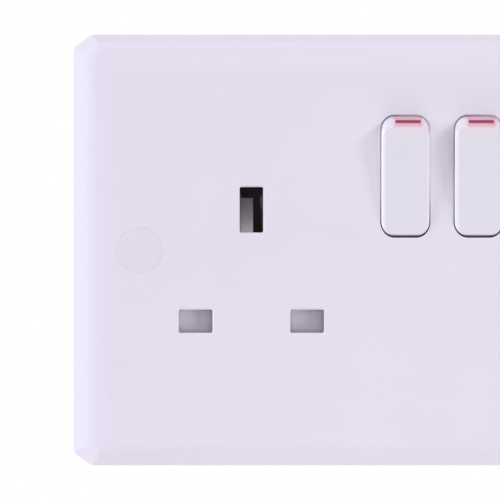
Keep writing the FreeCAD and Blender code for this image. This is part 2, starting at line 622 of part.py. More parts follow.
def earth_clip(x):
    """A folded spring clip that grips the earth pin on both sides and stands on the earth strip."""
    grip = (EARTH_PIN_WIDTH - CLIP_GRIP + STOCK) / 2
    front_y = SHUTTER_FRONT_Y + RAMP_RISE / math.tan(math.radians(RAMP_ANGLE_DEG)) + CLIP_FRONT_GAP
    half = [
        (grip + CLIP_FLARE, EARTH_ROW_Z + EARTH_CLIP_REACH),
        (grip, EARTH_ROW_Z + EARTH_CLIP_REACH - CLIP_FLARE_LENGTH),
        (grip + CLIP_ROOT, EARTH_ROW_Z - EARTH_PIN_HEIGHT / 2),
        (grip + CLIP_ROOT, EARTH_CLIP_BASE_Z),
    ]
    path = [(x - u, z) for u, z in half] + [(x + u, z) for u, z in half[::-1]]
    return face_on(ribbon(path, STOCK), front_y, EARTH_Y)


def strip(path, y, width=STRIP_WIDTH):
    return face_on(ribbon(path, width), y, y + STOCK)


def tail_pad(x, y):
    """The wide end of a strip that the terminal screw passes through."""
    return rounded(x, TERMINAL_Z, TAIL_WIDTH, TAIL_WIDTH, PRESSED_CORNER, y, y + STOCK)


def screw_hole(x, y):
    return rod_y(TERMINAL_SCREW_RADIUS + SCREW_PLAY, y, y + STOCK, x, TERMINAL_Z)


def live_feed():
    """The strip from the live terminal up to the cradles that the see-saws rock in."""
    reach = ROCKER_X + CRADLE_LENGTH / 2
    riser = strip([(0, TERMINAL_Z), (0, ROCKER_ROW_Z)], LIVE_Y)
    bar = strip([(-reach, ROCKER_ROW_Z), (reach, ROCKER_ROW_Z)], LIVE_Y)
    shapes = [riser, bar, tail_pad(0, LIVE_Y)]
    low, high = ROCKER_ROW_Z - STRIP_WIDTH / 2, ROCKER_ROW_Z + STRIP_WIDTH / 2
    for side in SIDES.values():
        x0, x1 = side * ROCKER_X - CRADLE_LENGTH / 2, side * ROCKER_X + CRADLE_LENGTH / 2
        shapes.append(block(x0, x1, LIVE_Y - CRADLE_HEIGHT, LIVE_Y, low, high))
    feed = fuse(shapes)
    groove = rod_x(SEESAW_BEAD_RADIUS + PIVOT_CLEARANCE, -reach, reach, SEESAW_AXIS_Y, ROCKER_ROW_Z)
    return feed.cut([groove, screw_hole(0, LIVE_Y)])


def live_strip(side):
    """The strip from a live clip to the fixed tip of its switch."""
    lane = side * LANE_X
    start = [(lane, LINE_ROW_Z - CLIP_WIDTH / 2)]
    if side > 0:
        start = [(FAR_LINE_X, LINE_ROW_Z - CLIP_WIDTH / 2), (FAR_LINE_X, CROSS_RUN_Z), (lane, CROSS_RUN_Z)]
    path = start + [(lane, CONTACT_Z), (side * (ROCKER_X - TIP_RADIUS), CONTACT_Z)]
    return strip(path, LIVE_Y)


def neutral_strip():
    x = -TERMINAL_SPACING
    ends = (-FAR_LINE_X - CLIP_WIDTH / 2, LANE_X + CLIP_WIDTH / 2)
    bar = strip([(end, LINE_ROW_Z) for end in ends], NEUTRAL_Y)
    tail = strip([(x, LINE_ROW_Z), (x, TERMINAL_Z)], NEUTRAL_Y)
    return fuse([bar, tail, tail_pad(x, NEUTRAL_Y)]).cut(screw_hole(x, NEUTRAL_Y))


def earth_strip():
    x = TERMINAL_SPACING
    reach = OUTLET_X + CLIP_WIDTH / 2
    bar = strip([(-reach, EARTH_STRIP_Z), (reach, EARTH_STRIP_Z)], EARTH_Y, EARTH_STRIP_WIDTH)
    tail = strip([(x, EARTH_STRIP_Z), (x, TERMINAL_Z)], EARTH_Y)
    return fuse([bar, tail, tail_pad(x, EARTH_Y)]).cut(screw_hole(x, EARTH_Y))


# Terminals by name: place across the housing and the plane of the strip behind each
TERMINALS = {
    "neutral": (-TERMINAL_SPACING, NEUTRAL_Y),
    "live": (0, LIVE_Y),
    "earth": (TERMINAL_SPACING, EARTH_Y),
}


def wire_y(strip_y):
    return strip_y - WIRE_BACK_WALL - WIRE_RADIUS


def terminal(x, strip_y):
    """A brass block with a wire bore from below and a clamping screw from behind."""
    front_y = strip_y - TERMINAL_DEPTH
    body = rounded(x, TERMINAL_Z, TERMINAL_WIDTH, TERMINAL_HEIGHT, PRESSED_CORNER, front_y, strip_y)
    bore = rod_z(WIRE_RADIUS, TERMINAL_LOW_Z, TERMINAL_LOW_Z + TERMINAL_HEIGHT, x, wire_y(strip_y))
    tapped = rod_y(TERMINAL_SCREW_RADIUS + SCREW_PLAY, wire_y(strip_y), strip_y, x, TERMINAL_Z)
    return body.cut([bore, tapped])


def slotted_head(radius, height, seat_y, hand, x, z):
    """A slotted screw head with a chamfered rim, standing on its seat towards +Y or -Y as hand says."""
    head = Part.makeCylinder(radius, height - HEAD_CHAMFER, Vector(x, seat_y, z), Y_AXIS * hand)
    rim_y = seat_y + hand * (height - HEAD_CHAMFER)
    crown = Part.makeCone(radius, radius - HEAD_CHAMFER, HEAD_CHAMFER, Vector(x, rim_y, z), Y_AXIS * hand)
    top_y = seat_y + hand * height
    low, high = sorted((top_y, top_y - hand * DRIVER_SLOT_DEPTH))
    half = DRIVER_SLOT_WIDTH / 2
    return head.fuse(crown).cut(block(x - radius, x + radius, low, high, z - half, z + half))


def slotted_screw(radius, head_radius, head_height, tip_y, seat_y, x, z):
    """A screw along Y with its slotted head behind the seat plane."""
    shank = rod_y(radius, tip_y, seat_y, x, z)
    return fuse([shank, slotted_head(head_radius, head_height, seat_y, 1, x, z)])


def terminal_screws():
    screws = []
    for x, y in TERMINALS.values():
        tip_y = wire_y(y) + WIRE_RADIUS + SCREW_PLAY
        seat_y = y + STOCK + TERMINAL_HEAD_LIFT
        head = (TERMINAL_HEAD_RADIUS, TERMINAL_HEAD_HEIGHT)
        screws.append(slotted_screw(TERMINAL_SCREW_RADIUS, *head, tip_y, seat_y, x, TERMINAL_Z))
    return Part.makeCompound(screws)


def pillar_places():
    return [(side * PILLAR_X, z) for side in SIDES.values() for z in (PILLAR_TOP_Z, PILLAR_BOTTOM_Z)]


def housing_screws():
    screws = []
    tip_y = PILLAR_SEAT_Y - HOUSING_SCREW_BITE + HEAD_PLAY
    head = (HOUSING_HEAD_RADIUS, HOUSING_HEAD_HEIGHT)
    for x, z in pillar_places():
        screws.append(slotted_screw(HOUSING_SCREW_RADIUS, *head, tip_y, HOUSING_SEAT_Y, x, z))
    return Part.makeCompound(screws)


def pegs():
    """Posts on the housing floor: x, z and the plane of the strip that each one carries."""
    live = [(-LANE_X, EARTH_ROW_Z, LIVE_Y), (-LANE_X, CROSS_RUN_Z, LIVE_Y), (LANE_X, EARTH_ROW_Z, LIVE_Y)]
    live += [(FAR_LINE_X, LINE_ROW_Z, LIVE_Y), (LANE_X, CROSS_RUN_Z, LIVE_Y)]
    live += [(0, EARTH_ROW_Z, LIVE_Y), (0, CROSS_RUN_Z, LIVE_Y)]
    live += [(side * (LANE_X + ROCKER_X) / 2, CONTACT_Z, LIVE_Y) for side in SIDES.values()]
    neutral = [(x, LINE_ROW_Z, NEUTRAL_Y) for x in (-FAR_LINE_X, -TERMINAL_SPACING, LANE_X)]
    earth = [(x, EARTH_STRIP_Z, EARTH_Y) for x in (-OUTLET_X, -TERMINAL_SPACING, TERMINAL_SPACING, OUTLET_X)]
    return live + neutral + earth


def housing_outline(inset, y0, y1):
    """The housing's outline, scalloped clear of the fixing bosses, moved in by the given inset."""
    width = 2 * (HOUSING_HALF_WIDTH - inset)
    height = HOUSING_TOP_Z - HOUSING_BOTTOM_Z - 2 * inset
    middle = (HOUSING_TOP_Z + HOUSING_BOTTOM_Z) / 2
    solid = rounded(0, middle, width, height, HOUSING_CORNER - inset, y0, y1)
    notch = BOSS_RADIUS + SHUTTER_PLAY + inset
    cuts = []
    for side in SIDES.values():
        cuts.append(rod_y(notch, y0, y1, side * FIXING_X, 0))
        near, far = sorted((side * FIXING_X, side * max(PLATE_WIDTH / 2, HOUSING_HALF_WIDTH)))
        cuts.append(block(near, far, y0, y1, -notch, notch))
    return solid.cut(cuts)


def pockets(x, z, width, height):
    """A row of shallow moulded pockets in the housing's back, with ribs left standing between them."""
    each = (width - (POCKET_COUNT - 1) * POCKET_RIB) / POCKET_COUNT
    row = []
    for index in range(POCKET_COUNT):
        middle = x - width / 2 + each / 2 + index * (each + POCKET_RIB)
        row.append(rounded(middle, z, each, height, POCKET_CORNER, BACK_Y - POCKET_DEPTH, BACK_Y))
    return row


def barrier(x):
    """A wall between two terminals, from the wire entries round to the screw heads."""
    inner_y, inner_z = BACK_Y - HOUSING_EDGE, HOUSING_BOTTOM_Z + HOUSING_EDGE
    back_y, low_z = BACK_Y + ACCESS_COLLAR_HEIGHT, HOUSING_BOTTOM_Z - BARRIER_HEIGHT
    top_z = TERMINAL_Z + SCREW_ACCESS_RADIUS + BARRIER_OVER_ACCESS
    outline = [(0, inner_z), (0, low_z), (back_y, low_z)]
    outline += [(back_y, top_z), (inner_y, top_z), (inner_y, inner_z)]
    return side_on(outline, x - BARRIER_WALL / 2, x + BARRIER_WALL / 2)


def back_edge_radius():
    """The rounding of the housing's back edge, kept within the scallop's straight wall where it has one."""
    straight = HOUSING_HALF_WIDTH - FIXING_X
    if straight > 0:
        return min(HOUSING_EDGE, straight * SCALLOP_EDGE_SHARE)
    return HOUSING_EDGE


def rear_housing():
    outside = housing_outline(0, FACE_BACK_Y, BACK_Y)
    back = [e for e in outside.Edges if abs(e.BoundBox.YMin - BACK_Y) < SAME]
    outside = outside.makeFillet(back_edge_radius(), back)
    tray = outside.cut(housing_outline(HOUSING_WALL, FACE_BACK_Y, FLOOR_Y))
    adds = [rod_y(PEG_RADIUS, y + STOCK, FLOOR_Y, x, z) for x, z, y in pegs()]
    adds += [rod_y(PILLAR_RADIUS, PILLAR_SEAT_Y, BACK_Y - HOUSING_EDGE, x, z) for x, z in pillar_places()]
    middle_y = (SHUTTER_FRONT_Y + SHUTTER_BACK_Y) / 2
    clip_top = LINE_ROW_Z + LINE_PIN_HEIGHT / 2 + CLIP_FLARE + 2 * STOCK
    run_bottom = CROSS_RUN_Z - STRIP_WIDTH / 2 - SHUTTER_PLAY
    half = SHUTTER_STEM_WIDTH / 2 - SHUTTER_PLAY
    for side in SIDES.values():
        x = side * OUTLET_X
        adds.append(block(x - half, x + half, SHUTTER_REST_Y, FLOOR_Y, clip_top, run_bottom))
        peg_z = HOUSING_BOTTOM_Z + HOUSING_WALL
        adds.append(rod_z(SPRING_PEG_RADIUS, peg_z, peg_z + SPRING_PEG_LENGTH, x, middle_y))
        adds.append(barrier(side * TERMINAL_SPACING / 2))
    entry_z = HOUSING_BOTTOM_Z - ENTRY_COLLAR_HEIGHT
    collar_y = BACK_Y + ACCESS_COLLAR_HEIGHT
    for x, y in TERMINALS.values():
        adds.append(rod_y(SCREW_ACCESS_RADIUS + COLLAR_RING, FLOOR_Y, collar_y, x, TERMINAL_Z))
        adds.append(rod_z(WIRE_ENTRY_RADIUS + COLLAR_RING, entry_z, HOUSING_BOTTOM_Z, x, wire_y(y)))
    tray = fuse([tray] + adds)
    cuts = pockets(0, EARTH_ROW_Z, SWITCH_PANEL_WIDTH, SWITCH_PANEL_HEIGHT)
    for side in SIDES.values():
        cuts += pockets(side * OUTLET_X, 0, OUTLET_PANEL_WIDTH, OUTLET_PANEL_HEIGHT)
    for x, z in pillar_places():
        cuts.append(rod_y(HOUSING_SCREW_RADIUS + HEAD_PLAY, PILLAR_SEAT_Y, BACK_Y, x, z))
        cuts.append(rod_y(HOUSING_HEAD_RADIUS + HEAD_PLAY, HOUSING_SEAT_Y, BACK_Y, x, z))
    for x, y in TERMINALS.values():
        cuts.append(rod_y(SCREW_ACCESS_RADIUS, FLOOR_Y, collar_y, x, TERMINAL_Z))
        cuts.append(rod_z(WIRE_ENTRY_RADIUS, entry_z, HOUSING_BOTTOM_Z + HOUSING_WALL, x, wire_y(y)))
    return tray.cut(cuts)


def fixing_screws():
    """The two captive screws under the caps: a thin neck in the plate, full size from the wall on."""
    screws = []
    seat_y = FACE_Y + FIXING_HEAD_DEPTH + FIXING_HEAD_HEIGHT
    for side in SIDES.values():
        x = side * FIXING_X
        head = slotted_head(FIXING_HEAD_RADIUS, FIXING_HEAD_HEIGHT, seat_y, -1, x, 0)
        neck = rod_y(FIXING_NECK_RADIUS, seat_y, 0, x, 0)
        thread = rod_y(FIXING_SCREW_RADIUS, 0, seat_y + FIXING_SCREW_LENGTH, x, 0)
        screws.append(fuse([head, neck, thread]))
    return Part.makeCompound(screws)


def screw_cap(side):
    """A flush disc with a spigot that grips the screw-head well."""
    x = side * FIXING_X
    disc_back = FACE_Y + CAP_THICKNESS
    disc = rod_y(CAP_RADIUS, FACE_Y - CAP_PROUD, disc_back, x, 0)
    front = [e for e in disc.Edges if abs(e.BoundBox.YMax - FACE_Y + CAP_PROUD) < SAME]
    disc = disc.makeChamfer(CAP_EDGE, front)
    outer = FIXING_HEAD_RADIUS + HEAD_PLAY - CAP_PLAY
    spigot = rod_y(outer, disc_back, disc_back + CAP_SPIGOT_LENGTH, x, 0)
    spigot = spigot.cut(rod_y(outer - CAP_SPIGOT_WALL, disc_back, disc_back + CAP_SPIGOT_LENGTH, x, 0))
    return fuse([disc, spigot])


parts["front_plate"] = front_plate()
parts["rear_housing"] = rear_housing()
parts["housing_screws"] = housing_screws()
parts["fixing_screws"] = fixing_screws()
parts["live_feed"] = live_feed()
parts["neutral_strip"] = neutral_strip()
parts["earth_strip"] = earth_strip()
parts["fixed_tips"] = fixed_tips()
parts["terminal_screws"] = terminal_screws()
for name, (place, plane) in TERMINALS.items():
    parts[name + "_terminal"] = terminal(place, plane)
for name, hand in SIDES.items():
    parts["rocker_" + name] = rocker(hand)
    parts["on_marker_" + name] = tilted(marker_block(hand * ROCKER_X, MARKER_DEPTH), ROCKER_TILT_DEG, PIVOT_Y)
    parts["plunger_" + name] = plunger(hand)
    parts["plunger_spring_" + name] = plunger_spring(hand)
    parts["moving_contact_" + name] = moving_contact(hand)
    parts["moving_tip_" + name] = moving_tip(hand)
    parts["shutter_" + name] = shutter(hand)
    parts["shutter_spring_" + name] = shutter_spring(hand)
    parts["live_strip_" + name] = live_strip(hand)
    parts["live_clip_" + name] = line_clip(hand * OUTLET_X + PIN_SPACING / 2, LIVE_Y)
    parts["neutral_clip_" + name] = line_clip(hand * OUTLET_X - PIN_SPACING / 2, NEUTRAL_Y)
    parts["earth_clip_" + name] = earth_clip(hand * OUTLET_X)
    parts["screw_cap_" + name] = screw_cap(hand)

os.makedirs("parts", exist_ok=True)
for name, shape in parts.items():
    shape.exportStep("parts/" + name + ".step")
    box = shape.BoundBox
    size = f"{box.XLength:.2f} x {box.YLength:.2f} x {box.ZLength:.2f}"
    state = f"solids {len(shape.Solids)} valid {shape.isValid()}"
    print(f"{name:24s} {state} volume {shape.Volume:9.1f} size {size}")
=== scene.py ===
import json
import math

import bmesh
import bpy
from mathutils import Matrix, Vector

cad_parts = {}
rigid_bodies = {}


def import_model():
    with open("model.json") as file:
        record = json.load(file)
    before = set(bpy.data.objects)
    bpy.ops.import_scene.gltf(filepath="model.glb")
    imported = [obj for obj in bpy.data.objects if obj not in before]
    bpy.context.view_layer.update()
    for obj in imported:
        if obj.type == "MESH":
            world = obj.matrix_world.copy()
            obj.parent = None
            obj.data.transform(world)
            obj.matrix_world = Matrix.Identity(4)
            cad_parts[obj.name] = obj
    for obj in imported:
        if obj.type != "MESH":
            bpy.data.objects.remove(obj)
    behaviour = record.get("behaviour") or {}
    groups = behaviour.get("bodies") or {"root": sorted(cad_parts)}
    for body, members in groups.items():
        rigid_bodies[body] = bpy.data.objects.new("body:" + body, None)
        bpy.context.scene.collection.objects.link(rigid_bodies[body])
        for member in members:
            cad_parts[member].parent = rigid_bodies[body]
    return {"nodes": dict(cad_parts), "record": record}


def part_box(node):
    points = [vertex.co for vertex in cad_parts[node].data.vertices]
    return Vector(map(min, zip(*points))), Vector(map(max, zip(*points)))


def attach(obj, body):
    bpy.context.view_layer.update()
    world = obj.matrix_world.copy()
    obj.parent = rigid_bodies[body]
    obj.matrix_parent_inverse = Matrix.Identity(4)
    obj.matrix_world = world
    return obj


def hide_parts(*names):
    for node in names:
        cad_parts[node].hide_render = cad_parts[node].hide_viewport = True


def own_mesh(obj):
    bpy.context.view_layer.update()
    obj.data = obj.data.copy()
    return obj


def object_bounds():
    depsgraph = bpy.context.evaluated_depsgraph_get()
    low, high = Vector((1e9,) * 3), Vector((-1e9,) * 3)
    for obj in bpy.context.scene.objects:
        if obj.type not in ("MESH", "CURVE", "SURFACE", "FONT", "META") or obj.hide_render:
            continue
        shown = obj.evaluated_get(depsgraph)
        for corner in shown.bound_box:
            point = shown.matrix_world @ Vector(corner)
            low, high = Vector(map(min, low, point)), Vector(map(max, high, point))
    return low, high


for leftover in list(bpy.data.objects):  # whatever the start-up file holds
    bpy.data.objects.remove(leftover)
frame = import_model()
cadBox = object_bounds()
nodes = frame["nodes"]
scene = bpy.context.scene
mm = 0.001
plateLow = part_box("front_plate")[0]
faceY = plateLow.y / mm  # the plate's front face; sizes are in millimetres up to the studio
rockerX = 7.3  # from the plate's middle to the middle of each rocker
outletX = 38.0  # and to the middle of each outlet
print("frame loaded:", len(nodes), "nodes")


class Val:  # one output socket, so that shader sums read as plain Python
    def __init__(self, tree, socket=None):
        self.tree = tree
        self.socket = socket

    def node(self, kind, settings=None, sockets=None, output=0):
        made = self.tree.nodes.new(kind)
        for key, value in (settings or {}).items():
            setattr(made, key, value)
        for key, value in (sockets or {}).items():
            feed(made.inputs[key], value)
        return Val(self.tree, made.outputs[output])

    def sums(self, operation, first, second):
        return self.node("ShaderNodeMath", {"operation": operation}, {0: first, 1: second})

    def __add__(self, other):
        return self.sums("ADD", self, other)

    def __sub__(self, other):
        return self.sums("SUBTRACT", self, other)

    def __rsub__(self, other):
        return self.sums("SUBTRACT", other, self)

    def __mul__(self, other):
        return self.sums("MULTIPLY", self, other)

    __radd__ = __add__
    __rmul__ = __mul__


def feed(socket, value):
    if isinstance(value, Val):
        value.tree.links.new(value.socket, socket)
    elif isinstance(value, tuple) and len(value) == 3 and socket.type == "RGBA":
        socket.default_value = (*value, 1.0)
    else:
        socket.default_value = value


# Finishes

noise = {  # how finely each noise is broken up, and the levels between which it shows
    "flow": {"detail": 2.0, "levels": (0.3, 0.7)},
    "speck": {"detail": 1.0, "levels": (0.62, 0.75)},
    "wipe": {"detail": 4.0, "levels": (0.35, 0.75)},
    "tarnish": {"detail": 5.0, "levels": (0.42, 0.72)},
    "streak": {"detail": 3.0, "levels": (0.35, 0.65)},
    "peel": {"detail": 2.0},
    "swell": {"detail": 1.0, "times": 5, "share": 0.6},  # wider and lower than the peel
}
shelter = {"samples": 12, "levels": (0.15, 0.75)}  # how closed in a spot must be for the painted shade to show there


def newFinish(name, constants):
    material = bpy.data.materials.new(name)
    material.use_nodes = True
    tree = material.node_tree
    shader = tree.nodes["Principled BSDF"]
    for key, value in constants.items():
        feed(shader.inputs[key], value)
    place = Val(tree).node("ShaderNodeTexCoord", output="Object")
    place = place.node("ShaderNodeVectorMath", {"operation": "SCALE"}, {0: place, "Scale": 1 / mm})
    return material, shader, place  # place is in millimetres


def cloud(place, size, detail, stretch=(1.0, 1.0, 1.0)):  # soft noise, one lump is about size wide
    scaled = place.node("ShaderNodeVectorMath", {"operation": "MULTIPLY"}, {0: place, 1: stretch})
    sockets = {"Vector": scaled, "Scale": 1 / size, "Detail": detail}
    return place.node("ShaderNodeTexNoise", None, sockets, "Fac")


def spread(value, low, high):  # stretches what lies between two levels to 0..1
    return value.node("ShaderNodeMapRange", None, {"Value": value, "From Min": low, "From Max": high})


def mixColour(factor, first, second):
    sockets = {"Factor": factor, "A": first, "B": second}
    return factor.node("ShaderNodeMix", {"data_type": "RGBA"}, sockets, "Result")


def bumpUp(height, strength, depth):
    sockets = {"Height": height, "Strength": strength, "Distance": depth * mm}
    return height.node("ShaderNodeBump", None, sockets)


def patchAt(place, patch):  # 1 inside a box, falling to 0 over the fade
    away = place.node("ShaderNodeVectorMath", {"operation": "SUBTRACT"}, {0: place, 1: patch["centre"]})
    away = place.node("ShaderNodeVectorMath", {"operation": "ABSOLUTE"}, {0: away})
    away = place.node("ShaderNodeVectorMath", {"operation": "SUBTRACT"}, {0: away, 1: patch["half"]})
    away = place.node("ShaderNodeVectorMath", {"operation": "MAXIMUM"}, {0: away, 1: (0.0, 0.0, 0.0)})
    away = place.node("ShaderNodeVectorMath", {"operation": "LENGTH"}, {0: away}, "Value")
    return spread(away, patch["fade"], 0.0) * patch["amount"]


def moved(patch, offset):  # the same patch, its centre counted from another point
    return dict(patch, centre=tuple(Vector(patch["centre"]) + Vector(offset)))


def plasticFinish(name, look):
    material, shader, place = newFinish(name, {"IOR": look["ior"], "Coat Roughness": look["coatRoughness"]})
    flow = cloud(place, look["flowSize"], noise["flow"]["detail"], look["flowStretch"])
    flow = spread(flow, *noise["flow"]["levels"])
    speck = spread(cloud(place, look["speckSize"], noise["speck"]["detail"]), *noise["speck"]["levels"])
    tint = mixColour(flow, look["colour"], look["flowColour"])
    tint = mixColour(speck * look["speckAmount"], tint, look["speckColour"])
    # patches mix in given colours; most of them are painted light or painted highlight, the marker's pink
    # is not
    for patch in look["patches"]:
        tint = mixColour(patchAt(place, patch), tint, patch["colour"])
    # painted shade: the patch's colour shows where nearby surfaces close a spot in
    for patch in look["occlusionShade"]:
        reach = {"Distance": patch["reach"] * mm}
        openness = place.node("ShaderNodeAmbientOcclusion", {"samples": shelter["samples"]}, reach, "AO")
        closeness = 1 - spread(openness, *shelter["levels"])
        tint = mixColour(closeness * patchAt(place, patch), tint, patch["colour"])
    feed(shader.inputs["Base Color"], tint)
    wipe = cloud(place, look["wipeSize"], noise["wipe"]["detail"], look["wipeStretch"])
    wipe = spread(wipe, *noise["wipe"]["levels"])
    feed(shader.inputs["Roughness"], wipe * look["wipeAmount"] + look["roughness"])
    feed(shader.inputs["Coat Weight"], (1 - wipe * look["coatWear"]) * look["coat"])
    peel = cloud(place, look["peelSize"], noise["peel"]["detail"])
    swell = cloud(place, look["peelSize"] * noise["swell"]["times"], noise["swell"]["detail"])
    peel = peel + swell * noise["swell"]["share"]
    feed(shader.inputs["Normal"], bumpUp(peel, look["peelStrength"], look["peelDepth"]))
    return material


def metalFinish(name, look):
    material, shader, place = newFinish(name, {"Metallic": 1.0})
    tarnish = cloud(place, look["tarnishSize"], noise["tarnish"]["detail"])
    tarnish = spread(tarnish, *noise["tarnish"]["levels"])
    streak = cloud(place, look["streakSize"], noise["streak"]["detail"], look["streakStretch"])
    bright = mixColour(spread(streak, *noise["streak"]["levels"]), look["colour"], look["streakColour"])
    feed(shader.inputs["Base Color"], mixColour(tarnish * look["tarnish"], bright, look["tarnishColour"]))
    rough = tarnish * look["tarnishRough"] + streak * look["streakRough"]
    feed(shader.inputs["Roughness"], rough + look["roughness"])
    feed(shader.inputs["Normal"], bumpUp(streak, look["streakStrength"], look["streakDepth"]))
    return material


glossWhite = {
    "colour": (0.700, 0.641, 0.752), "flowColour": (0.713, 0.653, 0.761), "speckColour": (0.60, 0.56, 0.66),
    "flowSize": 26.0, "flowStretch": (1.0, 1.0, 1.8), "speckSize": 0.35, "speckAmount": 0.10,
    "ior": 1.50, "roughness": 0.30, "wipeSize": 9.0, "wipeStretch": (1.0, 1.0, 0.25), "wipeAmount": 0.05,
    "coat": 0.25, "coatRoughness": 0.12, "coatWear": 0.35,
    "peelSize": 0.9, "peelStrength": 0.10, "peelDepth": 0.02,
    "patches": [], "occlusionShade": [],
}
rockerWhite = dict(glossWhite, colour=(0.682, 0.645, 0.738), flowColour=(0.692, 0.654, 0.745),
                   roughness=0.26, wipeAmount=0.0, coatWear=0.0)
capWhite = dict(glossWhite, colour=(0.684, 0.627, 0.736), flowColour=(0.694, 0.637, 0.742), roughness=0.34)
markerRed = dict(glossWhite, colour=(0.245, 0.014, 0.052), flowColour=(0.27, 0.017, 0.057),
                 speckColour=(0.26, 0.02, 0.05), flowSize=2.0)
nylonGrey = dict(glossWhite, colour=(0.70, 0.655, 0.725), flowColour=(0.73, 0.685, 0.75), coat=0.0,
                 roughness=0.46, flowSize=5.0, peelSize=0.5, peelStrength=0.25)
housingPaintedLight = {  # painted light: a paler patch on the housing's floor behind the earth slots, where they look in
    "centre": (0.0, 14.5, 8.0), "half": (5.0, 0.6, 6.0), "fade": 1.0, "amount": 1.0,
    "colour": (0.15, 0.13, 0.15),
}
housingBlack = dict(glossWhite, colour=(0.035, 0.035, 0.039), flowColour=(0.046, 0.046, 0.050), coat=0.0,
                    speckColour=(0.075, 0.075, 0.08), speckAmount=0.35, flowSize=14.0, roughness=0.42,
                    wipeAmount=0.16, peelSize=0.45, peelStrength=0.35, peelDepth=0.03,
                    patches=[moved(housingPaintedLight, (x, 0.0, 0.0)) for x in (-outletX, outletX)])
pressedBrass = {
    "colour": (0.73, 0.53, 0.23), "streakColour": (0.80, 0.61, 0.31), "tarnishColour": (0.42, 0.26, 0.11),
    "tarnishSize": 3.0, "tarnish": 0.45, "tarnishRough": 0.22, "roughness": 0.18,
    "streakSize": 0.9, "streakStretch": (0.08, 1.0, 1.0), "streakRough": 0.16,
    "streakStrength": 0.15, "streakDepth": 0.01,
}
springBronze = dict(pressedBrass, colour=(0.19, 0.155, 0.145), streakColour=(0.22, 0.18, 0.165),
                    tarnishColour=(0.12, 0.095, 0.09), tarnish=0.7, roughness=0.34)
turnedBrass = dict(pressedBrass, streakSize=0.4, streakStretch=(1.0, 3.0, 1.0), tarnish=0.3)
dullSilver = dict(pressedBrass, colour=(0.82, 0.81, 0.78), streakColour=(0.88, 0.87, 0.85),
                  tarnishColour=(0.45, 0.42, 0.38), tarnishSize=0.8)
zincPlate = dict(pressedBrass, colour=(0.60, 0.61, 0.64), streakColour=(0.68, 0.68, 0.70), roughness=0.24,
                 tarnishColour=(0.50, 0.46, 0.36), tarnish=0.35,
                 streakSize=0.5, streakStretch=(1.0, 2.5, 1.0))
drawnWire = dict(zincPlate, colour=(0.44, 0.44, 0.46), streakColour=(0.52, 0.52, 0.54), roughness=0.22)

finishes = {
    "white_moulding": plasticFinish("glossWhite", glossWhite),
    "red_marker": plasticFinish("markerRed", markerRed),
    "shutter_nylon": plasticFinish("nylonGrey", nylonGrey),
    "housing_moulding": plasticFinish("housingBlack", housingBlack),
    "brass_strip": metalFinish("pressedBrass", pressedBrass),
    "bronze_spring": metalFinish("springBronze", springBronze),
    "brass_screw": metalFinish("turnedBrass", turnedBrass),
    "contact_silver": metalFinish("dullSilver", dullSilver),
    "plated_steel": metalFinish("zincPlate", zincPlate),
    "spring_steel": metalFinish("drawnWire", drawnWire),
}

markerBleed = {  # the marker's red in the white round it, counted from the marker's middle
    "centre": (0.0, 0.0, 0.2), "half": (2.4, 3.0, 0.6), "fade": 0.7, "amount": 0.80,
    "colour": (0.70, 0.30, 0.42),
}
markerGlow = {  # a wider, paler blush
    "centre": (0.0, 0.0, 0.0), "half": (3.0, 3.0, 1.2), "fade": 1.4, "amount": 0.4,
    "colour": (0.84, 0.64, 0.71),
}
paintedEdgeHighlight = {  # painted highlight along the rocker's left edge, counted from the rocker's middle line
    "centre": (-4.6, -12.0, 14.0), "half": (0.2, 5.0, 9.5), "fade": 0.7, "amount": 0.8,
    "colour": (0.83, 0.80, 0.865),
}
gapPaintedShade = {  # painted shade in the gap at the rocker's lower end
    "centre": (0.0, -9.0, 2.5), "half": (6.0, 4.0, 2.5), "fade": 6.0, "amount": 1.0, "reach": 1.0,
    "colour": (0.05, 0.043, 0.05),
}
paintedRampLight = {  # painted light on the shutter's ramp, counted from the outlet's middle line
    "centre": (0.0, 0.0, 2.6), "half": (4.0, 9.0, 2.0), "fade": 6.0, "amount": 1.0,
    "colour": (0.96, 0.93, 0.96),
}
paintedSheenTop = {  # painted sheen, brighter along the plate's edges
    "centre": (0.0, faceY, 38.6), "half": (66.0, 2.0, 1.0), "fade": 2.6, "amount": 1.0,
    "colour": (0.727, 0.667, 0.780),
}
paintedSheenSide = {
    "centre": (0.0, faceY, 0.0), "half": (1.0, 2.0, 39.0), "fade": 2.6, "amount": 1.0,
    "colour": (0.735, 0.662, 0.792),
}
paintedSheenSideX = 68.4  # from the plate's middle to the painted sheen band at each side


# a rocker's finish with painted light: a painted highlight on its left edge and painted shade in its lower
# gap, beside the marker's pink
def rockerPaintedLight(side, x):
    low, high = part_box("on_marker_" + side)
    middle = (low + high) / (2 * mm)
    patches = [moved(paintedEdgeHighlight, (x, 0.0, 0.0)), moved(markerGlow, middle), moved(markerBleed, middle)]
    occlusionShade = [moved(gapPaintedShade, (x, 0.0, 0.0))]
    return plasticFinish("rockerWhite_" + side, dict(rockerWhite, patches=patches, occlusionShade=occlusionShade))


# a shutter's finish with painted light on its ramp
def shutterRampLight(side, x):
    patches = [moved(paintedRampLight, (x, 0.0, 0.0))]
    return plasticFinish("shutterNylon_" + side, dict(nylonGrey, patches=patches))


ownFinishes = {}  # nodes that differ a little from the rest of their slot
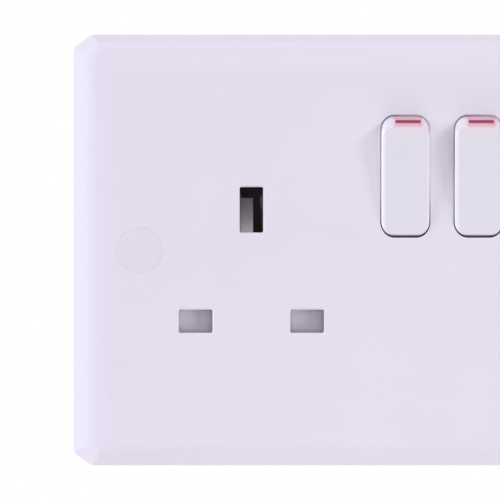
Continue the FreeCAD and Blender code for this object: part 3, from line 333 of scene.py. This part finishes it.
# the plate's painted sheen along its top and side edges
platePaintedSheens = [paintedSheenTop]
for hand, side in ((-1, "left"), (1, "right")):
    platePaintedSheens.append(moved(paintedSheenSide, (hand * paintedSheenSideX, 0.0, 0.0)))
    ownFinishes["rocker_" + side] = rockerPaintedLight(side, hand * rockerX)
    ownFinishes["screw_cap_" + side] = plasticFinish("capWhite_" + side, capWhite)
    ownFinishes["shutter_" + side] = shutterRampLight(side, hand * outletX)
ownFinishes["front_plate"] = plasticFinish("plateWhite", dict(glossWhite, patches=platePaintedSheens))
for row in frame["record"]["subparts"]:
    part = nodes[row["node"]]
    part.data.materials.clear()
    part.data.materials.append(ownFinishes.get(row["node"]) or finishes[row["material_slot"]])
print("finishes:", len(bpy.data.materials))


# Added pieces

def skin(shape, loops, ring=False):  # a solid over loops of points, closed at its ends or to a ring
    rows = [[shape.verts.new(Vector(point) * mm) for point in loop] for loop in loops]
    for near, far in zip(rows, rows[1:] + rows[:1] if ring else rows[1:]):
        for index in range(len(near)):
            shape.faces.new((near[index - 1], near[index], far[index], far[index - 1]))
    if not ring:
        shape.faces.new(rows[0])
        shape.faces.new(rows[-1])


def newPiece(name, shape, body, slotName, sharpAngle):
    bmesh.ops.recalc_face_normals(shape, faces=shape.faces)
    mesh = bpy.data.meshes.new(name)
    shape.to_mesh(mesh)
    shape.free()
    mesh.shade_smooth()
    mesh.set_sharp_from_angle(angle=math.radians(sharpAngle))
    mesh.materials.append(finishes[slotName])
    piece = bpy.data.objects.new(name, mesh)
    scene.collection.objects.link(piece)
    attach(piece, body)
    return piece


fixing = {  # M3.5 screws, captive in the plate by a thin neck
    "headRadius": 3.3, "headHeight": 2.0, "headChamfer": 0.35,
    "slotHalf": 0.4, "slotDepth": 0.9, "arcPoints": 18,
    "neckRadius": 1.4, "threadRadius": 1.75, "threadDepth": 0.34, "pitch": 0.6, "crest": 1.3,
    "tipLength": 0.9, "tipDrop": 0.7, "around": 28, "perTurn": 6, "sharpAngle": 35,
}


def ringAt(x, y, radii):
    turns = [2 * math.pi * index / len(radii) for index in range(len(radii))]
    return [(x + r * math.cos(turn), y, r * math.sin(turn)) for r, turn in zip(radii, turns)]


def threadRing(x, y, end):
    tip = max(0.0, y - end + fixing["tipLength"]) / fixing["tipLength"]
    radii = []
    for index in range(fixing["around"]):
        phase = (y / fixing["pitch"] - index / fixing["around"]) % 1.0
        ridge = min(1.0, fixing["crest"] * (1 - abs(2 * phase - 1)))
        radius = fixing["threadRadius"] - fixing["threadDepth"] * (1 - ridge)
        radii.append(min(radius, fixing["threadRadius"] - tip * fixing["tipDrop"]))
    return ringAt(x, y, radii)


def slotSide(x, y, radius, hand):  # the head's outline on one side of the slot
    first = math.asin(fixing["slotHalf"] / radius)
    loop = []
    for index in range(fixing["arcPoints"]):
        turn = first + (math.pi - 2 * first) * index / (fixing["arcPoints"] - 1)
        loop.append((x + radius * math.cos(turn), y, hand * radius * math.sin(turn)))
    return loop


def fixingScrews():
    low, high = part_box("fixing_screws")
    top, end = low.y / mm, high.y / mm
    floorY, seat = top + fixing["slotDepth"], top + fixing["headHeight"]
    turns = int(end / fixing["pitch"] * fixing["perTurn"])
    rim = [(floorY, 0.0), (top + fixing["headChamfer"], 0.0), (top, fixing["headChamfer"])]
    stem = [(floorY, fixing["headRadius"]), (seat, fixing["headRadius"]),
            (seat, fixing["neckRadius"]), (0.0, fixing["neckRadius"])]
    shape = bmesh.new()
    for hand in (-1, 1):
        x = hand * (high.x / mm - fixing["headRadius"])
        for side in (-1, 1):
            skin(shape, [slotSide(x, y, fixing["headRadius"] - cut, side) for y, cut in rim])
        skin(shape, [ringAt(x, y, [radius] * fixing["around"]) for y, radius in stem])
        skin(shape, [threadRing(x, end * step / turns, end) for step in range(turns + 1)])
    piece = newPiece("fixingScrews", shape, "base", "plated_steel", fixing["sharpAngle"])
    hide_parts("fixing_screws")


lip = {  # the moulding's thin lip just under the face, round the top and sides of each rocker
    "step": 0.08, "leftStep": 0.40, "topStep": 0.34,  # how far under the face, least at the right
    "thick": 0.5, "play": 0.04, "endPlay": 0.09, "sink": 0.02,
    "half": 4.8, "sideGap": 0.2, "endGap": 0.55, "corner": 2.3,
    "radius": 13.135, "pivotY": -3.5, "rowZ": 14.75,  # of the rocker's end as it swings
    "lowZ": -9.0, "fadeZ": -4.0, "fadeDepth": 1.6,  # the sides sink away toward the rocker's lower end
    "sideSteps": 10, "topSteps": 36, "sharpAngle": 30,
}


def lipPoint(y, along, z, outer):  # one corner of the lip, on the rocker's side or on the opening's
    spare = lip["play"] if not outer else lip["sideGap"] + lip["sink"]
    ends = lip["endPlay"] if not outer else lip["endGap"] + lip["sink"]
    half, corner = lip["half"] + spare, lip["corner"] + ends
    if z is None:
        over = max(0.0, abs(along) * half - half + corner)
        reach = lip["radius"] + ends - corner + math.sqrt(max(0.0, corner ** 2 - over ** 2))
        z = math.sqrt(reach ** 2 - (y - lip["pivotY"]) ** 2)
    return along * half, y, lip["rowZ"] + z


def lipLoop(along, z=None):  # along runs from -1 at the left to 1; the top has no height of its own
    fade = 0.0 if z is None else max(0.0, (lip["fadeZ"] - z) / (lip["fadeZ"] - lip["lowZ"]))
    deeper = lip["topStep"] * math.sqrt(1 - along ** 2) if z is None else lip["fadeDepth"] * fade ** 2
    deeper += lip["leftStep"] * (1 - along) / 2
    front = faceY + lip["step"] + deeper
    back = front + lip["thick"]
    corners = ((front, False), (front, True), (back, True), (back, False))
    return [lipPoint(y, along, z, outer) for y, outer in corners]


def openingLip(name, x):
    sideTop = math.sqrt((lip["radius"] - lip["corner"]) ** 2 - (faceY + lip["step"] - lip["pivotY"]) ** 2)
    rise = (sideTop - lip["lowZ"]) / lip["sideSteps"]
    heights = [lip["lowZ"] + rise * step for step in range(lip["sideSteps"])]
    turns = [math.pi * (step / lip["topSteps"] - 0.5) for step in range(lip["topSteps"] + 1)]
    loops = [lipLoop(-1.0, z) for z in heights]
    loops += [lipLoop(math.sin(turn)) for turn in turns]
    loops += [lipLoop(1.0, z) for z in reversed(heights)]
    shape = bmesh.new()
    skin(shape, [[(x + px, py, pz) for px, py, pz in loop] for loop in loops])
    newPiece(name, shape, "base", "white_moulding", lip["sharpAngle"])


seam = {  # dirt and polish level the seam round each cap
    "inner": 4.59, "outer": 4.63, "depth": 0.3, "around": 72, "sharpAngle": 30,
}


def capSeams():
    inner, outer, depth = seam["inner"], seam["outer"], seam["depth"]
    corners = ((inner, 0.0), (outer, 0.0), (outer, depth), (inner, depth))
    turns = [2 * math.pi * step / seam["around"] for step in range(seam["around"])]
    shape = bmesh.new()
    for side in ("left", "right"):
        low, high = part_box("screw_cap_" + side)
        x, z = (low.x + high.x) / (2 * mm), (low.z + high.z) / (2 * mm)
        loops = []
        for turn in turns:
            loops.append([(x + r * math.cos(turn), faceY + y, z + r * math.sin(turn)) for r, y in corners])
        skin(shape, loops, ring=True)
    newPiece("capSeams", shape, "base", "white_moulding", seam["sharpAngle"])


coil = {  # wire is the wire's radius, closed the turns that lie flat at each end, drop how far it shortens
    "wire": 0.2, "around": 8, "turns": 6.5, "closed": 0.8, "perTurn": 24, "drop": 5.7, "sharpAngle": 60,
}


def coilHeight(turn, room):  # closed turns at both ends, open ones between
    closedRise = 2 * coil["wire"]
    openTurns = coil["turns"] - 2 * coil["closed"]
    openRise = (room - 2 * closedRise * coil["closed"]) / openTurns
    opened = min(max(turn - coil["closed"], 0.0), openTurns)
    return closedRise * (turn - opened) + openRise * opened


def coilRing(turn, radius, room):
    angle = 2 * math.pi * turn
    loop = []
    for index in range(coil["around"]):
        spin = 2 * math.pi * index / coil["around"]
        out = radius + coil["wire"] * math.cos(spin)
        rise = coilHeight(turn, room) + coil["wire"] * (1 + math.sin(spin))
        loop.append((out * math.cos(angle), out * math.sin(angle), rise))
    return loop


def shutterSpring(side):
    low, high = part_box("shutter_spring_" + side)
    foot = Vector(((low.x + high.x) / 2, (low.y + high.y) / 2, low.z))
    height = (high.z - low.z) / mm
    radius = (high.x - low.x) / (2 * mm) - coil["wire"]
    steps = int(coil["turns"] * coil["perTurn"])
    turns = [coil["turns"] * step / steps for step in range(steps + 1)]
    shape = bmesh.new()
    skin(shape, [coilRing(turn, radius, height - 2 * coil["wire"]) for turn in turns])
    bmesh.ops.translate(shape, verts=shape.verts, vec=foot)
    piece = newPiece("shutterSpring" + side.capitalize(), shape, "base", "spring_steel", coil["sharpAngle"])
    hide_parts("shutter_spring_" + side)
    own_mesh(piece)


fixingScrews()
openingLip("openingLipLeft", -rockerX)
openingLip("openingLipRight", rockerX)
capSeams()
shutterSpring("left")
shutterSpring("right")
print("added pieces: screws with threads, opening lips, cap seams, shutter springs")


# Studio, in metres

camera = {"aimX": -38.28 * mm, "aimZ": 0.0, "viewWidth": 99.68 * mm, "distance": 1.3, "clipEnd": 20.0}
ambient = 0.28  # the world's light on the object, beside the lamps
floorLook = {
    "drop": 150 * mm, "radius": 0.32, "fadeFrom": 0.12, "segments": 96, "colour": (0.90, 0.90, 0.91),
    "roughness": 0.6, "grainRough": 0.1, "grainSize": 0.05, "grainDetail": 3.0,
}
softboxes = {  # power in watts; mirrors says whether the lamp itself shows in glossy surfaces
    "rightKey": {"place": (0.74, -0.90, -0.25), "size": 0.36, "power": 2.7,
                 "colour": (1.0, 0.985, 1.0), "mirrors": True},
    "rightGraze": {"place": (1.05, -0.55, 0.45), "size": 0.30, "power": 6.4,
                   "colour": (1.0, 0.985, 1.0), "mirrors": False},
    "leftGraze": {"place": (-1.15, -0.22, 0.30), "size": 0.50, "power": 13.6,
                  "colour": (0.87, 0.955, 1.0), "mirrors": False},
    "topGraze": {"place": (-0.10, -0.45, 1.15), "size": 0.70, "power": 3.1,
                 "colour": (0.96, 1.0, 0.97), "mirrors": False},
    "lowGraze": {"place": (0.10, -0.45, -1.15), "size": 0.70, "power": 5.0,
                 "colour": (1.0, 1.0, 0.92), "mirrors": False},
    "frontFill": {"place": (0.05, -1.30, 0.00), "size": 0.5, "power": 2.4,
                  "colour": (1.0, 0.99, 1.0), "mirrors": False},
    "backFill": {"place": (0.35, 0.95, 0.60), "size": 0.8, "power": 5.0,
                 "colour": (1.0, 1.0, 1.0), "mirrors": True},
}


def placeCamera():
    lens = bpy.data.cameras.new("photoCamera")
    lens.lens = lens.sensor_width * camera["distance"] / camera["viewWidth"]
    lens.clip_end = camera["clipEnd"]
    eye = bpy.data.objects.new("photoCamera", lens)
    eye.location = (camera["aimX"], plateLow.y - camera["distance"], camera["aimZ"])
    eye.rotation_euler = (math.radians(90), 0, 0)
    scene.collection.objects.link(eye)
    scene.camera = eye


def placeSoftbox(name, look):
    lamp = bpy.data.lights.new(name, "AREA")
    lamp.size = look["size"]
    lamp.energy = look["power"]
    lamp.color = look["colour"]
    stand = bpy.data.objects.new(name, lamp)
    stand.location = look["place"]
    stand.rotation_euler = (-Vector(look["place"])).to_track_quat("-Z", "Y").to_euler()
    stand.visible_glossy = look["mirrors"]
    scene.collection.objects.link(stand)


def backgroundRays(start):  # 1 for rays that should see the plain white background
    ways = ("Is Camera Ray", "Is Glossy Ray", "Is Transmission Ray")
    seen = sum(start.node("ShaderNodeLightPath", output=way) for way in ways)
    return start.node("ShaderNodeMath", {"operation": "MINIMUM"}, {0: seen, 1: 1.0})


def whiteWorld():
    world = bpy.data.worlds.new("whiteStudio")
    world.use_nodes = True
    scene.world = world
    start = Val(world.node_tree)
    strength = backgroundRays(start) * (1 - ambient) + ambient
    feed(world.node_tree.nodes["Background"].inputs["Color"], (1.0, 1.0, 1.0))
    feed(world.node_tree.nodes["Background"].inputs["Strength"], strength)


def floorFinish():
    material = bpy.data.materials.new("paleFloor")
    material.use_nodes = True
    tree = material.node_tree
    shader = tree.nodes["Principled BSDF"]
    place = Val(tree).node("ShaderNodeTexCoord", output="Object")
    grain = cloud(place, floorLook["grainSize"], floorLook["grainDetail"])
    feed(shader.inputs["Base Color"], floorLook["colour"])
    feed(shader.inputs["Roughness"], grain * floorLook["grainRough"] + floorLook["roughness"])
    reach = place.node("ShaderNodeVectorMath", {"operation": "LENGTH"}, {0: place}, "Value")
    edge = place.node("ShaderNodeMapRange", {"interpolation_type": "SMOOTHSTEP"},
                      {"Value": reach, "From Min": floorLook["fadeFrom"], "From Max": floorLook["radius"]})
    feed(shader.inputs["Alpha"], 1 - edge)  # melts into the white background
    return material


def paleFloor():
    mesh = bpy.data.meshes.new("paleFloor")
    shape = bmesh.new()
    bmesh.ops.create_circle(shape, cap_ends=True, segments=floorLook["segments"],
                            radius=floorLook["radius"])
    shape.to_mesh(mesh)
    shape.free()
    mesh.materials.append(floorFinish())
    floor = bpy.data.objects.new("paleFloor", mesh)
    floor.visible_shadow = False  # lets the low lamp through
    floor.location = (0, 0, cadBox[0].z - floorLook["drop"])
    scene.collection.objects.link(floor)


placeCamera()
for name, look in softboxes.items():
    placeSoftbox(name, look)
whiteWorld()
paleFloor()
scene.view_settings.view_transform = "Standard"
print("studio:", len(softboxes), "softboxes")
